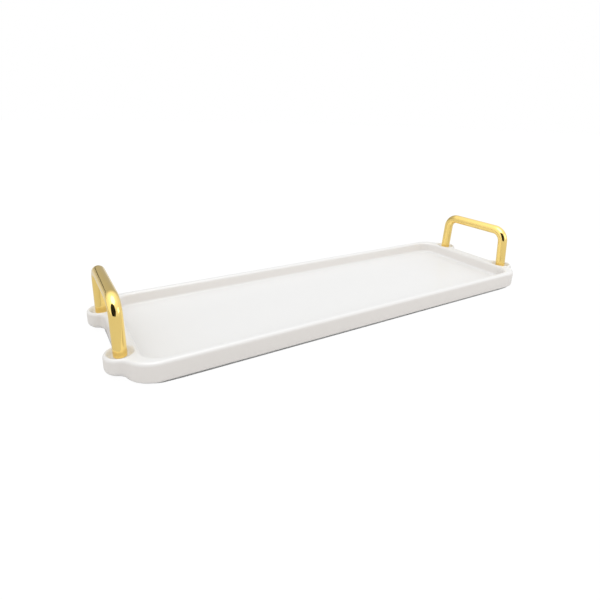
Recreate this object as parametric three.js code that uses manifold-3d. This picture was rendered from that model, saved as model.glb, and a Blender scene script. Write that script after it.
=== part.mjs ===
// A dresser vanity tray: a long, shallow glazed tray with round ears at its four corners, and a bent
// rod handle across each short end. Each handle leg stands on an ear and is held by a screw from below.
// Millimetres, +Z up, X along the tray. The origin is under the middle of the tray, on the table.

import * as THREE from "three";
import { mergeVertices } from "three/addons/utils/BufferGeometryUtils.js";
import Module from "manifold-3d";

const wasm = await Module();
wasm.setup();

// Heights of the tray above the table
const PAD_THICKNESS = 1;
const EAR_UNDERSIDE = 2.4;
const FLOOR_TOP = 4.8;
const LEG_SEAT = 11.5;
const RIM_TOP = 14;

// Outside of the tray, seen from above
const BODY_HALF_LENGTH = 170.5;
const BODY_HALF_WIDTH = 56;
const BODY_CORNER_RADIUS = 18;
const EAR_RADIUS = 9.5;
const EAR_TO_END_WALL_RADIUS = 6;
const EAR_TO_CORNER_RADIUS = 8;

// The recess: the end walls are thick, because the ears run into them
const SIDE_WALL = 5.5;
const END_WALL = 10;
const RECESS_CORNER_RADIUS = 13;
const WALL_DRAFT = 0.4;

// Rounded edges of the tray
const BASE_EDGE_RADIUS = 1.4;
const RIM_EDGE_RADIUS = 1.6;
const RECESS_FILLET_RADIUS = 2.5;
const EAR_LOWER_EDGE_RADIUS = 3.5;
const EAR_UPPER_EDGE_RADIUS = 1.4;

// The round dish in the top of an ear that a handle leg stands in: a flat seat, and a sloping side that
// reaches the ear's rounded edge
const SEAT_RADIUS = 4.6;
const DISH_RADIUS = 8.4;

// Handles: the legs lean towards each other by LEG_LEAN on the way up
const HANDLE_X = BODY_HALF_LENGTH;
const LEG_SPACING = 67;
const LEG_LEAN = 2;
const ROD_RADIUS = 4;
const BAR_HEIGHT = 44.3;
const BEND_RADIUS = 10;

// Fasteners: M4 pan head screws, with a soft washer, recessed in the ears
const SCREW_RADIUS = 2;
const SCREW_GRIP_IN_LEG = 8;
const HEAD_RADIUS = 3.9;
const HEAD_HEIGHT = 2.5;
const WASHER_RADIUS = 4.5;
const WASHER_THICKNESS = 0.8;
const FIT_GAP = 0.3;
const COUNTERBORE_RADIUS = 4.9;
const COUNTERBORE_TOP = 6.5;

// Foot pads: three along each long side
const PAD_RADIUS = 6;
const PAD_EDGE = 0.4;
const PAD_X = [-146, 0, 146];
const PAD_Y = [-38, 38];

const glaze = new THREE.MeshStandardMaterial({ color: 0xf4f2ef, roughness: 0.4, metalness: 0 });
const gold = new THREE.MeshStandardMaterial({ color: 0xe8c565, roughness: 0.12, metalness: 1 });
const steel = new THREE.MeshStandardMaterial({ color: 0xb9bcc0, roughness: 0.35, metalness: 1 });
const nylon = new THREE.MeshStandardMaterial({ color: 0xe9e7e0, roughness: 0.6, metalness: 0 });
const rubber = new THREE.MeshStandardMaterial({ color: 0x4b4b4d, roughness: 0.85, metalness: 0 });

// A closed geometry as a solid that can be joined and cut.
function solidOf(geometry) {
  const bare = geometry.clone();
  bare.deleteAttribute("normal");
  bare.deleteAttribute("uv");
  const merged = mergeVertices(bare, 1e-4);
  return new wasm.Manifold(
    new wasm.Mesh({
      numProp: 3,
      vertProperties: new Float32Array(merged.attributes.position.array),
      triVerts: new Uint32Array(merged.index.array),
    }),
  );
}

function geometryOf(solid) {
  const mesh = solid.getMesh();
  const geometry = new THREE.BufferGeometry();
  geometry.setAttribute("position", new THREE.BufferAttribute(mesh.vertProperties, 3));
  geometry.setIndex(new THREE.BufferAttribute(mesh.triVerts, 1));
  geometry.computeVertexNormals();
  return geometry;
}

// Points of a rounded rectangle about the origin, anticlockwise, at one height.
function roundedRectangle(halfLength, halfWidth, radius, height) {
  const cornerSteps = 8;
  const points = [];
  for (let corner = 0; corner < 4; corner++) {
    const signX = corner === 0 || corner === 3 ? 1 : -1;
    const signY = corner < 2 ? 1 : -1;
    for (let step = 0; step <= cornerSteps; step++) {
      const angle = (corner + step / cornerSteps) * (Math.PI / 2);
      const x = signX * (halfLength - radius) + radius * Math.cos(angle);
      const y = signY * (halfWidth - radius) + radius * Math.sin(angle);
      points.push(new THREE.Vector3(x, y, height));
    }
  }
  return points;
}

// A solid through a stack of convex rings with the same number of points, from the lowest to the highest.
function loft(rings) {
  const count = rings[0].length;
  const positions = rings.flat().flatMap((point) => point.toArray());
  const indices = [];
  for (let ring = 0; ring + 1 < rings.length; ring++) {
    for (let i = 0; i < count; i++) {
      const a = ring * count + i;
      const b = ring * count + ((i + 1) % count);
      indices.push(a, b, b + count, a, b + count, a + count);
    }
  }
  const top = (rings.length - 1) * count;
  for (let i = 1; i + 1 < count; i++) {
    indices.push(0, i + 1, i);
    indices.push(top, top + i, top + i + 1);
  }
  const geometry = new THREE.BufferGeometry();
  geometry.setAttribute("position", new THREE.Float32BufferAttribute(positions, 3));
  geometry.setIndex(indices);
  return solidOf(geometry);
}

// Points on a quarter round of an edge: how far the surface is set in, and how far it is from the edge's
// flat face, going from the side wall to that face.
function edgeRound(radius, steps = 3) {
  const points = [];
  for (let step = 0; step <= steps; step++) {
    const angle = (step / steps) * (Math.PI / 2);
    points.push({ inset: radius * (1 - Math.cos(angle)), depth: radius * (1 - Math.sin(angle)) });
  }
  return points;
}

// A solid of revolution about a vertical axis; the profile is a list of [radius, height].
function turned(profile, x, y, segments = 24) {
  const points = profile.map(([radius, height]) => new THREE.Vector2(radius, height));
  const geometry = new THREE.LatheGeometry(points, segments);
  geometry.rotateX(Math.PI / 2);
  geometry.translate(x, y, 0);
  return solidOf(geometry);
}

function cylinder(radius, bottom, top, x, y) {
  return turned([[0, bottom], [radius, bottom], [radius, top], [0, top]], x, y);
}

// The tray's plate and rim, before the recess is cut.
function outerBody() {
  const ring = (inset, height) =>
    roundedRectangle(
      BODY_HALF_LENGTH - inset,
      BODY_HALF_WIDTH - inset,
      BODY_CORNER_RADIUS - inset,
      height,
    );
  const lower = edgeRound(BASE_EDGE_RADIUS).reverse();
  const upper = edgeRound(RIM_EDGE_RADIUS);
  return loft([
    ...lower.map(({ inset, depth }) => ring(inset, PAD_THICKNESS + depth)),
    ...upper.map(({ inset, depth }) => ring(inset, RIM_TOP - depth)),
  ]);
}

// What the recess takes away: a filleted floor, walls with a little draft, and a rounded lip.
function recess() {
  const ring = (outset, height) =>
    roundedRectangle(
      BODY_HALF_LENGTH - END_WALL + outset,
      BODY_HALF_WIDTH - SIDE_WALL + outset,
      RECESS_CORNER_RADIUS + outset,
      height,
    );
  const fillet = edgeRound(RECESS_FILLET_RADIUS).reverse();
  const lip = edgeRound(RIM_EDGE_RADIUS);
  const clearAbove = 1;
  return loft([
    ...fillet.map(({ inset, depth }) => ring(-inset - WALL_DRAFT, FLOOR_TOP + depth)),
    ...lip.map(({ inset, depth }) => ring(inset, RIM_TOP - depth)),
    ring(RIM_EDGE_RADIUS, RIM_TOP + clearAbove),
  ]);
}

// One round ear, with its rounded lower and upper edges.
function ear(x, y) {
  const lower = edgeRound(EAR_LOWER_EDGE_RADIUS).reverse();
  const upper = edgeRound(EAR_UPPER_EDGE_RADIUS);
  return turned(
    [
      [0, EAR_UNDERSIDE],
      ...lower.map(({ inset, depth }) => [EAR_RADIUS - inset, EAR_UNDERSIDE + depth]),
      ...upper.map(({ inset, depth }) => [EAR_RADIUS - inset, RIM_TOP - depth]),
      [0, RIM_TOP],
    ],
    x,
    y,
  );
}

// The hollow curves that run an ear into the end wall and into the tray's corner, as one web.
// It is drawn for the corner at +X +Y.
function earWeb() {
  const earX = HANDLE_X;
  const earY = LEG_SPACING / 2;
  const cornerX = BODY_HALF_LENGTH - BODY_CORNER_RADIUS;
  const cornerY = BODY_HALF_WIDTH - BODY_CORNER_RADIUS;

  // The centre of the curve to the end wall touches the wall's plane and the ear.
  const endReach = EAR_RADIUS + EAR_TO_END_WALL_RADIUS;
  const endX = BODY_HALF_LENGTH + EAR_TO_END_WALL_RADIUS;
  const endY = earY - Math.sqrt(endReach ** 2 - (endX - earX) ** 2);

  // The centre of the curve to the corner touches the corner's arc and the ear.
  const cornerReach = BODY_CORNER_RADIUS + EAR_TO_CORNER_RADIUS;
  const earReach = EAR_RADIUS + EAR_TO_CORNER_RADIUS;
  const apart = Math.hypot(earX - cornerX, earY - cornerY);
  const along = (cornerReach ** 2 - earReach ** 2 + apart ** 2) / (2 * apart);
  const across = Math.sqrt(cornerReach ** 2 - along ** 2);
  const towardsEar = new THREE.Vector2(earX - cornerX, earY - cornerY).normalize();
  const blendX = cornerX + along * towardsEar.x - across * towardsEar.y;
  const blendY = cornerY + along * towardsEar.y + across * towardsEar.x;

  const angleTo = (fromX, fromY, toX, toY) => Math.atan2(toY - fromY, toX - fromX);
  const overlap = 3;
  const shape = new THREE.Shape();
  shape.moveTo(BODY_HALF_LENGTH - overlap, endY);
  shape.lineTo(BODY_HALF_LENGTH, endY);
  shape.absarc(endX, endY, EAR_TO_END_WALL_RADIUS, Math.PI, angleTo(endX, endY, earX, earY), true);
  shape.lineTo(earX, earY);
  shape.absarc(
    blendX,
    blendY,
    EAR_TO_CORNER_RADIUS,
    angleTo(blendX, blendY, earX, earY),
    angleTo(blendX, blendY, cornerX, cornerY),
    true,
  );
  shape.lineTo(cornerX, cornerY);

  const bottom = EAR_UNDERSIDE + EAR_LOWER_EDGE_RADIUS / 3;
  const top = RIM_TOP - EAR_UPPER_EDGE_RADIUS / 3;
  const geometry = new THREE.ExtrudeGeometry(shape, {
    depth: top - bottom,
    bevelEnabled: false,
    curveSegments: 6,
  });
  geometry.translate(0, 0, bottom);
  return solidOf(geometry);
}

// What the dish takes away. Its sloping side runs on above the rim, so that the cut comes out clean.
function dish(x, y) {
  const clearAbove = 1;
  const slope = (DISH_RADIUS - SEAT_RADIUS) / (RIM_TOP - LEG_SEAT);
  return turned(
    [
      [0, LEG_SEAT],
      [SEAT_RADIUS, LEG_SEAT],
      [DISH_RADIUS + slope * clearAbove, RIM_TOP + clearAbove],
      [0, RIM_TOP + clearAbove],
    ],
    x,
    y,
  );
}

function trayBody() {
  let solid = outerBody();
  const web = earWeb();
  for (const { x, y } of legPlaces()) {
    solid = solid.add(ear(x, y));
    solid = solid.add(web.scale([Math.sign(x), Math.sign(y), 1]));
  }
  solid = solid.subtract(recess());
  for (const { x, y } of legPlaces()) {
    solid = solid.subtract(dish(x, y));
    solid = solid.subtract(cylinder(COUNTERBORE_RADIUS, 0, COUNTERBORE_TOP, x, y));
    solid = solid.subtract(cylinder(SCREW_RADIUS + FIT_GAP, 0, LEG_SEAT + 1, x, y));
  }
  return geometryOf(solid);
}

function legPlaces() {
  const places = [];
  for (const x of [-HANDLE_X, HANDLE_X]) {
    for (const y of [-LEG_SPACING / 2, LEG_SPACING / 2]) places.push({ x, y });
  }
  return places;
}

// The handle's centre line, drawn across the tray and up, as a curve in space.
class UprightCurve extends THREE.Curve {
  constructor(path, x) {
    super();
    this.path = path;
    this.x = x;
  }

  getPoint(t, target = new THREE.Vector3()) {
    const { x: across, y: up } = this.path.getPointAt(t);
    return target.set(this.x, across, up);
  }
}

function handlePath(startHeight) {
  const leanAngle = Math.atan2(LEG_LEAN, BAR_HEIGHT - LEG_SEAT);
  const baseAcross = LEG_SPACING / 2 + (LEG_SEAT - startHeight) * Math.tan(leanAngle);
  const shoulder = LEG_SPACING / 2 - LEG_LEAN;
  const bendAngle = Math.PI / 2 - leanAngle;
  const bendAcross = shoulder - BEND_RADIUS * Math.tan(bendAngle / 2);
  const bendUp = BAR_HEIGHT - BEND_RADIUS;
  const legTopAcross = bendAcross + BEND_RADIUS * Math.cos(leanAngle);
  const legTopUp = bendUp + BEND_RADIUS * Math.sin(leanAngle);
  const path = new THREE.Path();
  path.moveTo(-baseAcross, startHeight);
  path.lineTo(-legTopAcross, legTopUp);
  path.absarc(-bendAcross, bendUp, BEND_RADIUS, Math.PI - leanAngle, Math.PI / 2, true);
  path.absarc(bendAcross, bendUp, BEND_RADIUS, Math.PI / 2, leanAngle, true);
  path.lineTo(baseAcross, startHeight);
  return path;
}

// A bent rod. Its feet are cut level, to stand in the ears' dishes, and a blind hole runs up each leg for
// its screw.
function handle(x) {
  const section = new THREE.Shape();
  section.absarc(0, 0, ROD_RADIUS, 0, 2 * Math.PI, false);
  const cutAway = 3;
  const rod = new THREE.ExtrudeGeometry(section, {
    extrudePath: new UprightCurve(handlePath(LEG_SEAT - cutAway), x),
    steps: 44,
    curveSegments: 8,
    bevelEnabled: false,
  });
  let solid = solidOf(rod);
  const below = new THREE.BoxGeometry(4 * ROD_RADIUS, 2 * LEG_SPACING, 2 * cutAway);
  below.translate(x, 0, LEG_SEAT - cutAway);
  solid = solid.subtract(solidOf(below));
  const holeTop = LEG_SEAT + SCREW_GRIP_IN_LEG + 1;
  for (const y of [-LEG_SPACING / 2, LEG_SPACING / 2]) {
    solid = solid.subtract(cylinder(SCREW_RADIUS + FIT_GAP, LEG_SEAT - cutAway, holeTop, x, y));
  }
  return geometryOf(solid);
}

// A pan head screw, point up, with a cross recess in its head.
function screw(x, y) {
  const headTop = COUNTERBORE_TOP - WASHER_THICKNESS;
  const headBottom = headTop - HEAD_HEIGHT;
  const tip = LEG_SEAT + SCREW_GRIP_IN_LEG;
  const edge = 0.7;
  let solid = turned(
    [
      [0, headBottom],
      [HEAD_RADIUS - 2 * edge, headBottom],
      [HEAD_RADIUS - edge / 2, headBottom + edge],
      [HEAD_RADIUS, headBottom + 2 * edge],
      [HEAD_RADIUS, headTop],
      [SCREW_RADIUS, headTop],
      [SCREW_RADIUS, tip - edge],
      [SCREW_RADIUS - edge, tip],
      [0, tip],
    ],
    x,
    y,
    20,
  );
  const slotLength = 4;
  const slotWidth = 0.9;
  const slotDepth = 1.5;
  for (const turn of [0, Math.PI / 2]) {
    const slot = new THREE.BoxGeometry(slotLength, slotWidth, 2 * slotDepth);
    slot.rotateZ(turn);
    slot.translate(x, y, headBottom);
    solid = solid.subtract(solidOf(slot));
  }
  return geometryOf(solid);
}

function washer(x, y) {
  const bottom = COUNTERBORE_TOP - WASHER_THICKNESS;
  const inner = SCREW_RADIUS + FIT_GAP;
  const ring = [
    [inner, bottom],
    [WASHER_RADIUS, bottom],
    [WASHER_RADIUS, COUNTERBORE_TOP],
    [inner, COUNTERBORE_TOP],
    [inner, bottom],
  ];
  return geometryOf(turned(ring, x, y, 20));
}

function footPad(x, y) {
  return geometryOf(
    turned(
      [
        [0, 0],
        [PAD_RADIUS - PAD_EDGE, 0],
        [PAD_RADIUS, PAD_EDGE],
        [PAD_RADIUS, PAD_THICKNESS],
        [0, PAD_THICKNESS],
      ],
      x,
      y,
    ),
  );
}

const tray = new THREE.Group();

function place(name, geometry, material) {
  const mesh = new THREE.Mesh(geometry, material);
  mesh.name = name;
  tray.add(mesh);
}

place("tray_body", trayBody(), glaze);
place("handle_left", handle(-HANDLE_X), gold);
place("handle_right", handle(HANDLE_X), gold);

const cornerNames = ["left_front", "left_back", "right_front", "right_back"];
legPlaces().forEach(({ x, y }, i) => {
  place(`handle_screw_${cornerNames[i]}`, screw(x, y), steel);
  place(`handle_washer_${cornerNames[i]}`, washer(x, y), nylon);
});

const padNames = ["left", "middle", "right"];
PAD_X.forEach((x, i) => {
  place(`foot_pad_${padNames[i]}_front`, footPad(x, PAD_Y[0]), rubber);
  place(`foot_pad_${padNames[i]}_back`, footPad(x, PAD_Y[1]), rubber);
});

export default tray;
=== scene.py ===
import math

import bmesh
import bpy
from mathutils import Matrix, Vector


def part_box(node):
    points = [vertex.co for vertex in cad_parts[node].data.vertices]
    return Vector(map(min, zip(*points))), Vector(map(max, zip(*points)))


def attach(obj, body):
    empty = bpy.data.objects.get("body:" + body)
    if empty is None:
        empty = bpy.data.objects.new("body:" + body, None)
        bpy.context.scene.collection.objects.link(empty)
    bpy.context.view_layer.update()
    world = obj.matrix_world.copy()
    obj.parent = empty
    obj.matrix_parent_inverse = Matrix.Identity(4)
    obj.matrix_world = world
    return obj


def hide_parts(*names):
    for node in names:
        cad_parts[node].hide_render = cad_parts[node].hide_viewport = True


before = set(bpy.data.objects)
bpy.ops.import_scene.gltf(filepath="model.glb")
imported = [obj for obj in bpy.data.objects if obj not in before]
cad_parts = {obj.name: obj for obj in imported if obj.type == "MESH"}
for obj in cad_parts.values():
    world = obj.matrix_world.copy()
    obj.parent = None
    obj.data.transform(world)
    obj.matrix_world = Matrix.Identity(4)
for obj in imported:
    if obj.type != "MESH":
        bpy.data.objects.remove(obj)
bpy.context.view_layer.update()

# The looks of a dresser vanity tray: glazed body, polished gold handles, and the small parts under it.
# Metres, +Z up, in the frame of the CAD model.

UP = Vector((0, 0, 1))
PADS = [f"{x}_{y}" for x in ("left", "middle", "right") for y in ("front", "back")]

# Sizes taken from the frame
body_low, body_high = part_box("tray_body")
handle_low, handle_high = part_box("handle_right")
BASE = body_low.z
RIM = body_high.z
HALF_WIDTH = body_high.y
ROD_RADIUS = (handle_high.x - handle_low.x) / 2
HALF_LENGTH = (handle_high.x + handle_low.x) / 2
BAR_HEIGHT = handle_high.z - ROD_RADIUS
EAR_RADIUS = body_high.x - HALF_LENGTH
LEG_SEAT = handle_low.z
washer_low, washer_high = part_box("handle_washer_right_back")
COUNTERBORE_TOP = washer_high.z
LEG_SPACING = washer_low.y + washer_high.y

# The body seen from above
BODY_CORNER = 0.018
EAR_TO_END_WALL = 0.006
EAR_TO_CORNER = 0.008
SIDE_WALL = 0.0055
END_WALL = 0.010
RECESS_CORNER = 0.013

# The body's heights and edges
EAR_UNDERSIDE = 0.0024
FLOOR = 0.0048
WALL_DRAFT = 0.0004
BASE_EDGE = 0.0014
EAR_LOWER_EDGE = 0.0035
RIM_OUTER_EDGE = 0.0022
RIM_INNER_EDGE = 0.0022
RECESS_FILLET = 0.0025

# The distance from a curve to the next ring on the flat beside it, and its largest share of the crown
FLAT_MARGIN = 0.0003
WIDEST_MARGIN = 0.05

# The round dish in each ear's top: a flat seat for the leg, and a side that slopes up into the rim
SEAT_RADIUS = 0.0046
DISH_RADIUS = 0.0084

# Handles and fasteners
LEG_LEAN = 0.002
BEND_RADIUS = 0.010
LEG_END_EDGE = 0.0006
COUNTERBORE_RADIUS = 0.0049
SCREW_RADIUS = 0.002
HOLE_RADIUS = 0.0023
THREAD_PITCH = 0.0007
THREAD_DEPTH = 0.0004


# Meshes

def shade(mesh, sharp_angle=35):
    """Smooth, except at edges sharper than sharp_angle degrees."""
    mesh.shade_smooth()
    mesh.set_sharp_from_angle(angle=math.radians(sharp_angle))


def new_object(name, mesh):
    """An object of a finished mesh."""
    shade(mesh)
    piece = bpy.data.objects.new(name, mesh)
    bpy.context.scene.collection.objects.link(piece)
    return piece


def mesh_of_rings(name, rings, closed_tube=False):
    """A closed mesh through rings of points. Each ring has the same number of points."""
    work = bmesh.new()
    count = len(rings[0])
    rows = [[work.verts.new(point) for point in ring] for ring in rings]
    for lower, upper in zip(rows, rows[1:] + rows[:1] if closed_tube else rows[1:]):
        for i in range(count):
            j = (i + 1) % count
            work.faces.new((lower[i], lower[j], upper[j], upper[i]))
    if not closed_tube:
        work.faces.new(reversed(rows[0]))
        work.faces.new(rows[-1])
    bmesh.ops.recalc_face_normals(work, faces=work.faces)
    mesh = bpy.data.meshes.new(name)
    work.to_mesh(mesh)
    work.free()
    return mesh


def circle(centre, radius, count):
    """Points round a level circle."""
    turns = (2 * math.pi * i / count for i in range(count))
    return [centre + Vector((radius * math.cos(a), radius * math.sin(a), 0)) for a in turns]


def quarter(centre, start, end, steps):
    """Points of a quarter ellipse about centre, from centre + start to centre + end."""
    angles = (math.pi / 2 * i / steps for i in range(steps + 1))
    return [centre + start * math.cos(a) + end * math.sin(a) for a in angles]


def turned(name, profile, x, y, count=48, closed_tube=False):
    """A solid of revolution about the upright line at x, y. The profile is a list of (radius, height)."""
    rings = [circle(Vector((x, y, height)), radius, count) for radius, height in profile]
    return mesh_of_rings(name, rings, closed_tube)


def rounded_profile(radius, low, high, edge, steps=5):
    """The profile of a disc with rounded edges, from its lower face to its upper face."""
    out = Vector((1, 0, 0))
    lower = quarter(Vector((radius - edge, 0, low + edge)), -UP * edge, out * edge, steps)
    upper = quarter(Vector((radius - edge, 0, high - edge)), out * edge, UP * edge, steps)
    return [(point.x, point.z) for point in lower + upper]


def cut(piece, cutter_mesh):
    """Takes the solid cutter_mesh away from piece."""
    cutter = bpy.data.objects.new("cutter", cutter_mesh)
    bpy.context.scene.collection.objects.link(cutter)
    modifier = piece.modifiers.new("cut", "BOOLEAN")
    modifier.operation = "DIFFERENCE"
    modifier.solver = "EXACT"
    modifier.object = cutter
    graph = bpy.context.evaluated_depsgraph_get()
    result = bpy.data.meshes.new_from_object(piece.evaluated_get(graph))
    piece.modifiers.clear()
    piece.data = result
    bpy.data.objects.remove(cutter)


# The tray's outline from above

def arc(centre, radius, start, end, steps, hollow=False):
    """Outline points along an arc, each with the direction out of the tray. Angles are in radians."""
    points = []
    for step in range(1, steps + 1):
        angle = start + (end - start) * step / steps
        ray = Vector((math.cos(angle), math.sin(angle), 0))
        points.append((centre + ray * radius, -ray if hollow else ray))
    return points


def straight(start, end, out, steps):
    """Outline points along a straight wall, each with the direction out of the tray."""
    return [(start.lerp(end, step / steps), out) for step in range(1, steps + 1)]


def heading(start, end):
    """The angle of the way from start to end, seen from above."""
    return math.atan2(end.y - start.y, end.x - start.x)


def quarter_outline():
    """A quarter of the outline, from the middle of the +X end to the middle of the +Y side."""
    ear = Vector((HALF_LENGTH, LEG_SPACING / 2, 0))
    corner = Vector((HALF_LENGTH - BODY_CORNER, HALF_WIDTH - BODY_CORNER, 0))

    # The hollow curve that runs the end wall into the ear
    end_x = HALF_LENGTH + EAR_TO_END_WALL
    end_reach = EAR_RADIUS + EAR_TO_END_WALL
    end_hollow = Vector((end_x, ear.y - math.sqrt(end_reach**2 - (end_x - ear.x) ** 2), 0))

    # The hollow curve that runs the ear into the corner
    corner_reach = BODY_CORNER + EAR_TO_CORNER
    ear_reach = EAR_RADIUS + EAR_TO_CORNER
    apart = (ear - corner).length
    along = (corner_reach**2 - ear_reach**2 + apart**2) / (2 * apart)
    across = math.sqrt(corner_reach**2 - along**2)
    towards_ear = (ear - corner).normalized()
    corner_hollow = corner + towards_ear * along + UP.cross(towards_ear) * across

    wall_end = Vector((HALF_LENGTH, end_hollow.y, 0))
    side_start = Vector((corner.x, HALF_WIDTH, 0))
    right = Vector((1, 0, 0))
    back = Vector((0, 1, 0))
    points = [(Vector((HALF_LENGTH, 0, 0)), right)]
    points += straight(points[0][0], wall_end, right, steps=5)
    points += arc(
        end_hollow, EAR_TO_END_WALL, math.pi, heading(end_hollow, ear), steps=9, hollow=True
    )
    points += arc(
        ear, EAR_RADIUS, heading(ear, end_hollow), heading(ear, corner_hollow), steps=40
    )
    points += arc(
        corner_hollow,
        EAR_TO_CORNER,
        heading(corner_hollow, ear),
        heading(corner_hollow, corner),
        steps=8,
        hollow=True,
    )
    points += arc(corner, BODY_CORNER, heading(corner, corner_hollow), math.pi / 2, steps=14)
    points += straight(side_start, Vector((0, HALF_WIDTH, 0)), back, steps=14)
    return points


def outline():
    """The whole outline, anticlockwise, as pairs of point and direction out."""
    def mirrored(pairs, x, y):
        flip = Matrix.Diagonal((x, y, 1))
        return [(flip @ point, flip @ out) for point, out in pairs]

    first = quarter_outline()
    second = mirrored(first[-2::-1], -1, 1)
    third = mirrored(first[1:], -1, -1)
    fourth = mirrored(first[-2:0:-1], 1, -1)
    return first + second + third + fourth


def foot_on_rectangle(point, half_length, half_width, radius):
    """The nearest point of a rounded rectangle, and the direction out of it there."""
    core_x = half_length - radius
    core_y = half_width - radius
    core = Vector((
        max(-core_x, min(core_x, point.x)),
        max(-core_y, min(core_y, point.y)),
        0,
    ))
    out = (point - core).normalized()
    return core + out * radius, out


def spread(path, steps):
    """Points at even distances along a path, both ends kept."""
    lengths = [0.0]
    for a, b in zip(path, path[1:]):
        lengths.append(lengths[-1] + (b - a).length)
    points = []
    leg = 0
    for step in range(steps + 1):
        distance = lengths[-1] * step / steps
        while leg < len(path) - 2 and lengths[leg + 1] < distance:
            leg += 1
        span = lengths[leg + 1] - lengths[leg]
        share = 0.0 if span == 0 else (distance - lengths[leg]) / span
        points.append(path[leg].lerp(path[leg + 1], min(1.0, share)))
    return points


def dished(place):
    """A place on the rim or the top, lowered where it is in the dish round a handle leg."""
    from_leg = math.hypot(abs(place.x) - HALF_LENGTH, abs(place.y) - LEG_SPACING / 2)
    share = (from_leg - SEAT_RADIUS) / (DISH_RADIUS - SEAT_RADIUS)
    share = max(0, min(1, share))
    # 0 on the seat and 1 at the dish's edge, with a smooth start and end
    rise = share * share * (3 - 2 * share)
    return place - UP * (RIM - LEG_SEAT) * (1 - rise)


def body_section(point, out):
    """The body's surface above one outline point, from the base, over the rim, to the recess's floor."""
    wall, wall_out = foot_on_rectangle(point, HALF_LENGTH, HALF_WIDTH, BODY_CORNER)
    inner, inner_out = foot_on_rectangle(
        point, HALF_LENGTH - END_WALL, HALF_WIDTH - SIDE_WALL, RECESS_CORNER
    )

    section = [wall - wall_out * (BASE_EDGE + FLAT_MARGIN) + UP * BASE]
    base_centre = wall - wall_out * BASE_EDGE + UP * (BASE + BASE_EDGE)
    section += quarter(base_centre, -UP * BASE_EDGE, wall_out * BASE_EDGE, steps=5)

    # Out along the ear's underside and round its lower edge. Away from the ears this is the upright wall.
    reach = min(EAR_LOWER_EDGE, (point - wall).length)
    ear_centre = point - out * reach + UP * (EAR_UNDERSIDE + EAR_LOWER_EDGE)
    underside = [wall + UP * EAR_UNDERSIDE]
    underside += quarter(ear_centre, -UP * EAR_LOWER_EDGE, out * reach, steps=12)
    section += spread(underside, steps=18)[1:]

    rim_centre = point - out * RIM_OUTER_EDGE + UP * (RIM - RIM_OUTER_EDGE)
    section.append(point + UP * (RIM - RIM_OUTER_EDGE - FLAT_MARGIN))
    rim = quarter(rim_centre, out * RIM_OUTER_EDGE, UP * RIM_OUTER_EDGE, steps=8)
    section += [dished(place) for place in rim]

    # Across the crown: narrow along the sides, and wide where it is the top of an ear
    crown_start = rim[-1]
    crown_end = inner + inner_out * RIM_INNER_EDGE + UP * RIM
    crown_width = (crown_end - crown_start).length
    margin = min(WIDEST_MARGIN, FLAT_MARGIN / crown_width)
    crown_steps = 24
    for step in range(crown_steps + 1):
        share = margin + (1 - 2 * margin) * step / crown_steps
        section.append(dished(crown_start.lerp(crown_end, share)))

    lip_centre = crown_end - UP * RIM_INNER_EDGE
    lip = quarter(lip_centre, UP * RIM_INNER_EDGE, -inner_out * RIM_INNER_EDGE, steps=8)
    section += [dished(place) for place in lip]

    fillet_centre = inner - inner_out * (WALL_DRAFT + RECESS_FILLET) + UP * (FLOOR + RECESS_FILLET)
    section += quarter(fillet_centre, inner_out * RECESS_FILLET, -UP * RECESS_FILLET, steps=8)
    section.append(section[-1] - inner_out * FLAT_MARGIN)
    return section


def leg_places():
    """Where each handle leg stands, as x and y."""
    return {
        f"{side}_{end}": (x * HALF_LENGTH, y * LEG_SPACING / 2)
        for side, x in (("left", -1), ("right", 1))
        for end, y in (("front", -1), ("back", 1))
    }


def glazed_body():
    """The ceramic casting, with a stepped hole up through each ear for its screw."""
    sections = [body_section(point, out) for point, out in outline()]
    rings = list(zip(*sections))
    piece = new_object("glazed_body", mesh_of_rings("glazed_body", rings))
    for x, y in leg_places().values():
        profile = [
            (COUNTERBORE_RADIUS, 0),
            (COUNTERBORE_RADIUS, COUNTERBORE_TOP),
            (HOLE_RADIUS, COUNTERBORE_TOP),
            (HOLE_RADIUS, 2 * RIM),
        ]
        cut(piece, turned("drill", profile, x, y))
    shade(piece.data)
    return piece


# Handles

def handle_line(x):
    """The rod's centre line from foot to foot, as pairs of point and direction."""
    lean = math.atan2(LEG_LEAN, BAR_HEIGHT - LEG_SEAT)
    shoulder = LEG_SPACING / 2 - LEG_LEAN
    bend_y = shoulder - BEND_RADIUS * math.tan((math.pi / 2 - lean) / 2)
    centre = Vector((x, -bend_y, BAR_HEIGHT - BEND_RADIUS))
    leg_way = Vector((0, math.sin(lean), math.cos(lean)))
    foot = Vector((x, -LEG_SPACING / 2, LEG_SEAT))
    half = [(foot, leg_way)]
    steps = 20
    for step in range(steps + 1):
        angle = math.pi - lean - (math.pi / 2 - lean) * step / steps
        ray = Vector((0, math.cos(angle), math.sin(angle)))
        half.append((centre + ray * BEND_RADIUS, Vector((0, ray.z, -ray.y))))
    middle = Vector((x, 0, BAR_HEIGHT))
    half.append((middle, Vector((0, 1, 0))))
    flip = Matrix.Diagonal((1, -1, 1))
    other = [(flip @ point, -(flip @ way)) for point, way in half[-2::-1]]
    return half + other


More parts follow.
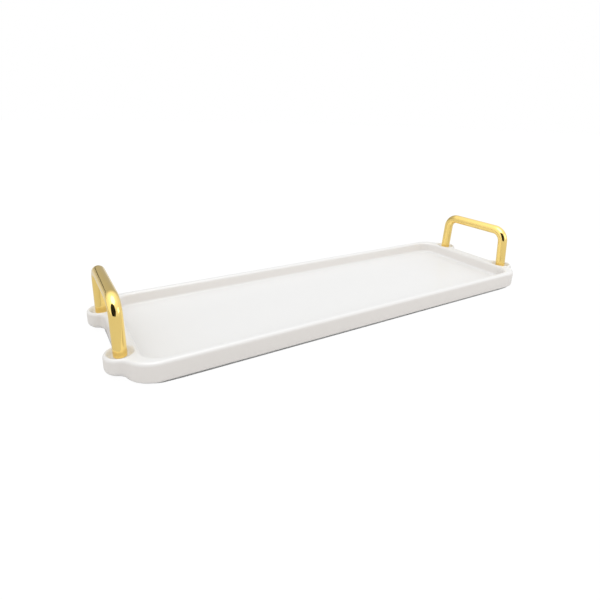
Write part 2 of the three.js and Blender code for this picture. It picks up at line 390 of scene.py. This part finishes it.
def foot_rings(place, ring, way, hole_high):
    """Rings from the top of a blind hole, down and out round the foot's edge, to the rod's side."""
    tip_rise = 0.001
    tip_radius = 0.0004
    edge_steps = 6
    level = [corner - way * ((corner.z - LEG_SEAT) / way.z) for corner in ring]
    spokes = [(corner - place).normalized() for corner in level]
    rows = [
        [place + UP * (hole_high + tip_rise - LEG_SEAT) + spoke * tip_radius for spoke in spokes],
        [place + UP * (hole_high - LEG_SEAT) + spoke * HOLE_RADIUS for spoke in spokes],
        [place + spoke * HOLE_RADIUS for spoke in spokes],
    ]
    flat_share = 1 - (LEG_END_EDGE + FLAT_MARGIN) / ROD_RADIUS
    rows.append([place + (corner - place) * flat_share for corner in level])
    for step in range(edge_steps + 1):
        angle = math.pi / 2 * step / edge_steps
        inset = LEG_END_EDGE * (1 - math.sin(angle))
        lift = LEG_END_EDGE * (1 - math.cos(angle))
        rows.append([
            place + (corner - place) * (1 - inset / ROD_RADIUS) + way * (lift / way.z)
            for corner in level
        ])
    return rows


def gold_handle(side, x):
    """A bent round rod. Its feet are cut level, with a small rounded edge and a blind screw hole."""
    count = 48
    room_past_screw = 0.001
    across = Vector((1, 0, 0))
    rings = []
    line = handle_line(x)
    for point, way in line:
        normal = way.cross(across)
        ring = []
        for i in range(count):
            angle = 2 * math.pi * i / count
            spoke = across * math.cos(angle) + normal * math.sin(angle)
            ring.append(point + spoke * ROD_RADIUS)
        rings.append(ring)

    hole_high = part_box(f"handle_screw_{side}_front")[1].z + room_past_screw
    start, way = line[0]
    end, end_way = line[-1]
    first = foot_rings(start, rings[0], way, hole_high)
    last = foot_rings(end, rings[-1], -end_way, hole_high)
    mesh = mesh_of_rings(f"gold_handle_{side}", first + rings[1:-1] + last[::-1])
    return new_object(f"gold_handle_{side}", mesh)


# Fasteners and feet

def cut_cross_recess(piece, x, y, head_low):
    """Two crossed slots in a screw's head that narrow towards their bottom."""
    depth = 0.0015
    width = 0.0009
    length = 0.004
    taper = 0.6
    for turn in (0, math.pi / 2):
        work = bmesh.new()
        bmesh.ops.create_cube(work, size=1)
        shape = (
            Matrix.Translation((x, y, head_low))
            @ Matrix.Rotation(turn, 4, "Z")
            @ Matrix.Diagonal((length, width, 2 * depth, 1))
        )
        bmesh.ops.transform(work, matrix=shape, verts=work.verts)
        for vert in work.verts:
            if vert.co.z > head_low:
                vert.co.x = x + (vert.co.x - x) * taper
                vert.co.y = y + (vert.co.y - y) * taper
        slot = bpy.data.meshes.new("slot")
        work.to_mesh(slot)
        work.free()
        cut(piece, slot)


def pan_screw(corner, x, y):
    """A pan head screw, point up, with a real thread and a cross recess."""
    low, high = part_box(f"handle_screw_{corner}")
    head_radius = (high.x - low.x) / 2
    head_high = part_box(f"handle_washer_{corner}")[0].z
    head_height = head_high - low.z
    plain_shank = 0.002
    tip_length = 0.0008
    tip_taper = 0.6
    count = 24
    rings = []

    # The head's profile: shares of its radius and of its height
    for share, rise in [(0.45, 0.03), (0.75, 0.12), (0.92, 0.32), (1.0, 0.62), (1.0, 1.0)]:
        centre = Vector((x, y, low.z + head_height * rise))
        rings.append(circle(centre, head_radius * share, count))

    root = SCREW_RADIUS - THREAD_DEPTH
    thread_low = head_high + plain_shank
    rings.append(circle(Vector((x, y, head_high)), SCREW_RADIUS, count))
    rings.append(circle(Vector((x, y, thread_low)), SCREW_RADIUS, count))
    rings_per_turn = 5
    steps = int((high.z - tip_length - thread_low) / THREAD_PITCH * rings_per_turn)
    for step in range(1, steps + 1):
        height = thread_low + step * THREAD_PITCH / rings_per_turn
        ring = []
        for i in range(count):
            phase = (step / rings_per_turn - i / count) % 1
            crest = 1 - abs(2 * phase - 1)
            radius = root + THREAD_DEPTH * crest
            angle = 2 * math.pi * i / count
            ring.append(Vector((x + radius * math.cos(angle), y + radius * math.sin(angle), height)))
        rings.append(ring)
    rings.append(circle(Vector((x, y, high.z - tip_length / 2)), root, count))
    rings.append(circle(Vector((x, y, high.z)), root * tip_taper, count))

    piece = new_object(f"pan_screw_{corner}", mesh_of_rings("pan_screw", rings))
    cut_cross_recess(piece, x, y, low.z)
    shade(piece.data, sharp_angle=30)
    return piece


def soft_washer(corner, x, y):
    """A flat nylon ring between the screw's head and the ear."""
    low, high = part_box(f"handle_washer_{corner}")
    edge = 0.00015
    outer = rounded_profile((high.x - low.x) / 2, low.z, high.z, edge, steps=3)
    inner = [
        (HOLE_RADIUS + edge, high.z),
        (HOLE_RADIUS, high.z - edge),
        (HOLE_RADIUS, low.z + edge),
        (HOLE_RADIUS + edge, low.z),
    ]
    mesh = turned("soft_washer", outer + inner, x, y, closed_tube=True)
    return new_object(f"soft_washer_{corner}", mesh)


def rubber_foot(place):
    """A flat rubber disc with rounded edges and a narrow groove in its lower face."""
    low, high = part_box(f"foot_pad_{place}")
    centre = (low + high) / 2
    radius = (high.x - low.x) / 2
    edge = 0.0003
    groove_depth = 0.0003
    # Shares of the pad's radius and of the groove's depth
    groove = [
        (radius * share, low.z + groove_depth * depth)
        for share, depth in ((0.62, 0), (0.65, 1), (0.71, 1), (0.74, 0))
    ]
    profile = groove + rounded_profile(radius, low.z, high.z, edge)
    mesh = turned("rubber_foot", profile, centre.x, centre.y)
    return new_object(f"rubber_foot_{place}", mesh)


# Materials

class Nodes:
    """A material's node tree, with short ways to add nodes and join them."""

    def __init__(self, name):
        self.material = bpy.data.materials.new(name)
        self.material.use_nodes = True
        self.tree = self.material.node_tree
        self.shader = self.tree.nodes["Principled BSDF"]

    def add(self, kind, **settings):
        node = self.tree.nodes.new(kind)
        for key, value in settings.items():
            setattr(node, key, value)
        return node

    def join(self, source, target):
        self.tree.links.new(source, target)

    def place(self, scale=(1, 1, 1)):
        """Positions on the object, stretched by scale."""
        mapping = self.add("ShaderNodeMapping")
        mapping.inputs["Scale"].default_value = scale
        self.join(self.add("ShaderNodeTexCoord").outputs["Object"], mapping.inputs["Vector"])
        return mapping.outputs["Vector"]

    def noise(self, vector, scale, detail):
        node = self.add("ShaderNodeTexNoise")
        node.inputs["Scale"].default_value = scale
        node.inputs["Detail"].default_value = detail
        self.join(vector, node.inputs["Vector"])
        return node.outputs["Fac"]

    def between(self, factor, low, high):
        """A number that goes from low to high as factor goes from 0 to 1."""
        node = self.add("ShaderNodeMapRange")
        node.inputs["To Min"].default_value = low
        node.inputs["To Max"].default_value = high
        self.join(factor, node.inputs["Value"])
        return node.outputs["Result"]

    def blend(self, factor, first, second):
        """A colour between two colours."""
        node = self.add("ShaderNodeMix", data_type="RGBA")
        node.inputs["A"].default_value = (*first, 1)
        node.inputs["B"].default_value = (*second, 1)
        self.join(factor, node.inputs["Factor"])
        return node.outputs["Result"]

    def bump(self, height, distance, under=None):
        """A bumpy normal, distance high, on top of the bumps under it."""
        node = self.add("ShaderNodeBump")
        node.inputs["Strength"].default_value = 1.0
        node.inputs["Distance"].default_value = distance
        self.join(height, node.inputs["Height"])
        if under is not None:
            self.join(under, node.inputs["Normal"])
        return node.outputs["Normal"]

    def set(self, **values):
        """Plain values on the shader, such as Metallic=1."""
        for key, value in values.items():
            self.shader.inputs[key.replace("_", " ")].default_value = value


def glaze_material():
    """White glaze, faintly mottled, with a slight ripple, and painted shade: a shade warmer and darker on
    steep faces.
    """
    nodes = Nodes("white_glaze")
    place = nodes.place()
    normal = nodes.add("ShaderNodeSeparateXYZ")
    nodes.join(nodes.add("ShaderNodeTexCoord").outputs["Normal"], normal.inputs["Vector"])
    # 0 on an upright face and 1 on a level one: the mask for the painted shade on steep faces
    level = nodes.add("ShaderNodeMath", operation="ABSOLUTE")
    nodes.join(normal.outputs["Z"], level.inputs[0])
    # Painted shade: upright faces get a darker, warmer colour than level ones, standing in for light that
    # falls mostly from above
    upright_painted_shade_colour = (0.76, 0.73, 0.70)
    level_colour = (0.80, 0.80, 0.795)
    colour = nodes.blend(level.outputs["Value"], upright_painted_shade_colour, level_colour)
    mottle = nodes.add("ShaderNodeMix", data_type="RGBA", blend_type="MULTIPLY")
    mottle.inputs["Factor"].default_value = 1
    nodes.join(colour, mottle.inputs["A"])
    nodes.join(
        nodes.blend(nodes.noise(place, scale=90, detail=4), (0.985, 0.985, 0.985), (1, 1, 1)),
        mottle.inputs["B"],
    )
    nodes.join(mottle.outputs["Result"], nodes.shader.inputs["Base Color"])
    nodes.join(
        nodes.between(nodes.noise(place, scale=140, detail=3), low=0.36, high=0.46),
        nodes.shader.inputs["Roughness"],
    )
    wave = nodes.bump(nodes.noise(place, scale=30, detail=1), distance=0.00006)
    ripple = nodes.bump(nodes.noise(place, scale=900, detail=1), distance=0.000004, under=wave)
    nodes.join(ripple, nodes.shader.inputs["Normal"])
    nodes.set(IOR=1.45)
    return nodes.material


def gold_material():
    """Polished gold plate, with faint polishing streaks and uneven gloss."""
    nodes = Nodes("gold_plate")
    place = nodes.place()
    tone = nodes.noise(place, scale=60, detail=3)
    nodes.join(
        nodes.blend(tone, (0.97, 0.71, 0.23), (1.0, 0.75, 0.26)),
        nodes.shader.inputs["Base Color"],
    )
    streaks = nodes.noise(nodes.place((1, 0.08, 0.08)), scale=2500, detail=2)
    nodes.join(nodes.between(streaks, low=0.06, high=0.14), nodes.shader.inputs["Roughness"])
    dents = nodes.bump(nodes.noise(place, scale=160, detail=1), distance=0.000012)
    nodes.join(dents, nodes.shader.inputs["Normal"])
    nodes.set(Metallic=1)
    return nodes.material


def steel_material():
    """Zinc plated steel, turned, so its streaks run round the screw."""
    nodes = Nodes("screw_steel")
    place = nodes.place((0.1, 0.1, 1))
    streaks = nodes.noise(place, scale=6000, detail=2)
    nodes.join(
        nodes.blend(streaks, (0.50, 0.51, 0.53), (0.66, 0.67, 0.69)),
        nodes.shader.inputs["Base Color"],
    )
    nodes.join(nodes.between(streaks, low=0.28, high=0.42), nodes.shader.inputs["Roughness"])
    nodes.set(Metallic=1)
    return nodes.material


def nylon_material():
    """Natural nylon, off-white and dull, with a fine grain."""
    nodes = Nodes("washer_nylon")
    place = nodes.place()
    grain = nodes.noise(place, scale=2500, detail=3)
    nodes.join(
        nodes.blend(grain, (0.78, 0.76, 0.70), (0.84, 0.82, 0.77)),
        nodes.shader.inputs["Base Color"],
    )
    nodes.join(nodes.bump(grain, distance=0.00001), nodes.shader.inputs["Normal"])
    nodes.set(Roughness=0.6)
    return nodes.material


def rubber_material():
    """Black rubber, dull and finely grained."""
    nodes = Nodes("pad_rubber")
    place = nodes.place()
    grain = nodes.noise(place, scale=3500, detail=4)
    nodes.join(
        nodes.blend(grain, (0.05, 0.05, 0.053), (0.09, 0.09, 0.093)),
        nodes.shader.inputs["Base Color"],
    )
    nodes.join(nodes.between(grain, low=0.7, high=0.9), nodes.shader.inputs["Roughness"])
    nodes.join(nodes.bump(grain, distance=0.00003), nodes.shader.inputs["Normal"])
    return nodes.material


def plain_material(name, colour, glow=0.0):
    """A dull, even surface for the studio."""
    nodes = Nodes(name)
    nodes.set(
        Base_Color=(*colour, 1),
        Roughness=0.9,
        Specular_IOR_Level=0.0,
        Emission_Color=(1, 1, 1, 1),
        Emission_Strength=glow,
    )
    return nodes.material


# Putting the object together

def finish_piece(piece, material, node):
    """The piece's finish, and the CAD node that it stands for."""
    piece.data.materials.clear()
    piece.data.materials.append(material)
    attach(piece, "root")
    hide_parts(node)


def build_object():
    gold = gold_material()
    steel = steel_material()
    nylon = nylon_material()
    rubber = rubber_material()
    finish_piece(glazed_body(), glaze_material(), "tray_body")
    for side, x in (("left", -HALF_LENGTH), ("right", HALF_LENGTH)):
        finish_piece(gold_handle(side, x), gold, f"handle_{side}")
    for corner, (x, y) in leg_places().items():
        finish_piece(pan_screw(corner, x, y), steel, f"handle_screw_{corner}")
        finish_piece(soft_washer(corner, x, y), nylon, f"handle_washer_{corner}")
    for place in PADS:
        finish_piece(rubber_foot(place), rubber, f"foot_pad_{place}")


# Studio

STUDIO_RADIUS = 4.0
FLOOR_GREY = (0.66, 0.66, 0.66)
SHEET_GREY = (0.06, 0.06, 0.06)
SHEET_GLOW = 0.96
CARD_GREY = (0.02, 0.02, 0.02)


def stage_object(name, mesh, material):
    """Part of the studio, and not of the object."""
    piece = bpy.data.objects.new(name, mesh)
    bpy.context.scene.collection.objects.link(piece)
    mesh.materials.append(material)
    return piece


def seen_only(piece, by_camera=False, in_reflections=False):
    """Keeps a studio piece out of the light, and out of view except where it says."""
    piece.visible_camera = by_camera
    piece.visible_glossy = in_reflections
    piece.visible_diffuse = False
    piece.visible_shadow = False
    piece.visible_transmission = False
    piece.visible_volume_scatter = False


def turn_towards(piece, place, target, axis):
    """Stands a light or card at place, with its own axis towards target."""
    piece.location = place
    piece.rotation_euler = (Vector(target) - Vector(place)).to_track_quat(axis, "Y").to_euler()


def disc_mesh(name, radius, thickness, count):
    """A round plate with its upper face at height 0."""
    return mesh_of_rings(name, [circle(UP * height, radius, count) for height in (-thickness, 0)])


def make_floor():
    """The pale floor that the tray stands on and is lit by."""
    disc = disc_mesh("floor", STUDIO_RADIUS, thickness=0.01, count=96)
    stage_object("floor", disc, plain_material("pale_floor", FLOOR_GREY))


def make_white_sheet():
    """A white sheet on the floor that only the camera sees, with a hole where the tray stands."""
    lift = UP * 0.00005
    # The hole is a little narrower than the tray, and rounder at its corners
    hole_margin = 0.001
    hole_corner = BODY_CORNER + 0.005
    narrower = Matrix.Diagonal((1, 1 - hole_margin / HALF_WIDTH, 1))
    hole = [
        foot_on_rectangle(point, HALF_LENGTH, HALF_WIDTH, hole_corner)[0] for point, _ in outline()
    ]
    work = bmesh.new()
    inner = [work.verts.new(narrower @ point + lift) for point in hole]
    outer = [work.verts.new(point.normalized() * STUDIO_RADIUS + lift) for point in hole]
    for i in range(len(hole)):
        j = (i + 1) % len(hole)
        work.faces.new((inner[i], outer[i], outer[j], inner[j]))
    mesh = bpy.data.meshes.new("white_sheet")
    work.to_mesh(mesh)
    work.free()
    material = plain_material("white_sheet", SHEET_GREY, SHEET_GLOW)
    seen_only(stage_object("white_sheet", mesh, material), by_camera=True)


def make_backdrop():
    """A white dome that only the camera sees."""
    radius = STUDIO_RADIUS * 0.98
    work = bmesh.new()
    bmesh.ops.create_icosphere(work, subdivisions=4, radius=radius)
    mesh = bpy.data.meshes.new("backdrop")
    work.to_mesh(mesh)
    work.free()
    material = plain_material("white_backdrop", (0, 0, 0), glow=1.0)
    seen_only(stage_object("backdrop", mesh, material), by_camera=True)


def make_card(name, place, target, radius, height=None, glow=0.0):
    """A round or oval card, dark or glowing, that shows only as a reflection in metal and glaze."""
    mesh = disc_mesh(name, radius, thickness=0.005, count=48)
    if height is not None:
        mesh.transform(Matrix.Diagonal((1, height / radius, 1, 1)))
    card = stage_object(name, mesh, plain_material(name, CARD_GREY, glow))
    turn_towards(card, place, target, "Z")
    seen_only(card, in_reflections=True)


def make_softbox(name, place, target, size, watts):
    """A rectangular light."""
    light = bpy.data.lights.new(name, "AREA")
    light.shape = "RECTANGLE"
    light.size, light.size_y = size
    light.energy = watts
    lamp = bpy.data.objects.new(name, light)
    turn_towards(lamp, place, target, "-Z")
    lamp.visible_camera = False
    bpy.context.scene.collection.objects.link(lamp)


def make_world():
    """Soft light from all round: stronger from above and from the left, and weaker from behind."""
    world = bpy.data.worlds.new("studio")
    world.use_nodes = True
    tree = world.node_tree
    background = tree.nodes["Background"]
    axes = tree.nodes.new("ShaderNodeSeparateXYZ")
    tree.links.new(tree.nodes.new("ShaderNodeTexCoord").outputs["Generated"], axes.inputs["Vector"])

    def ramp(axis, start, end, low, high):
        """A strength that goes from low to high as the direction's axis goes from start to end."""
        node = tree.nodes.new("ShaderNodeMapRange")
        node.interpolation_type = "SMOOTHSTEP"
        values = {"From Min": start, "From Max": end, "To Min": low, "To Max": high}
        for name, value in values.items():
            node.inputs[name].default_value = value
        tree.links.new(axes.outputs[axis], node.inputs["Value"])
        return node.outputs["Result"]

    strength = ramp("Z", start=0.3, end=1.0, low=0.92, high=1.3)
    behind = ramp("Y", start=0.5, end=0.9, low=1.0, high=0.55)
    left_to_right = ramp("X", start=-1, end=0.2, low=1.2, high=0.97)
    for factor in (behind, left_to_right):
        product = tree.nodes.new("ShaderNodeMath")
        product.operation = "MULTIPLY"
        tree.links.new(strength, product.inputs[0])
        tree.links.new(factor, product.inputs[1])
        strength = product.outputs["Value"]
    tree.links.new(strength, background.inputs["Strength"])
    background.inputs["Color"].default_value = (1, 1, 1, 1)
    bpy.context.scene.world = world


def make_camera():
    """Standing at the tray's left front corner, a little above it."""
    place = (-0.2032, -0.2817, 0.1495)
    turn_right = 31.44
    look_down = 17.93
    roll = 1.48
    data = bpy.data.cameras.new("camera")
    data.lens = 27.21
    data.sensor_width = 36
    data.shift_y = -0.0766
    data.clip_start = 0.01
    camera = bpy.data.objects.new("camera", data)
    camera.matrix_world = (
        Matrix.Translation(place)
        @ Matrix.Rotation(math.radians(-turn_right), 4, "Z")
        @ Matrix.Rotation(math.radians(90 - look_down), 4, "X")
        @ Matrix.Rotation(math.radians(roll), 4, "Z")
    )
    bpy.context.scene.collection.objects.link(camera)
    bpy.context.scene.camera = camera


def make_cards_and_lights():
    """What the handles and the glaze reflect, and a small light on the front."""
    left_end = (-0.17, 0, 0)
    left_handle = (-0.17, 0, 0.045)
    make_card("camera_flag", (-0.65, -0.9, 0.47), (0, 0, 0), radius=0.75)
    make_card("horizon_flag", (-0.8, 1.6, 0.38), left_handle, radius=1.0, height=0.05)
    make_card("top_card", (-0.25, -0.25, 1.3), left_end, radius=0.6, glow=3.0)
    make_softbox("side_light", (0.5, -0.55, 0.3), (0.1, -0.06, 0.01), size=(0.4, 0.3), watts=0.5)


make_camera()
build_object()
make_floor()
make_white_sheet()
make_backdrop()
make_world()
make_cards_and_lights()
bpy.context.scene.view_settings.view_transform = "Standard"
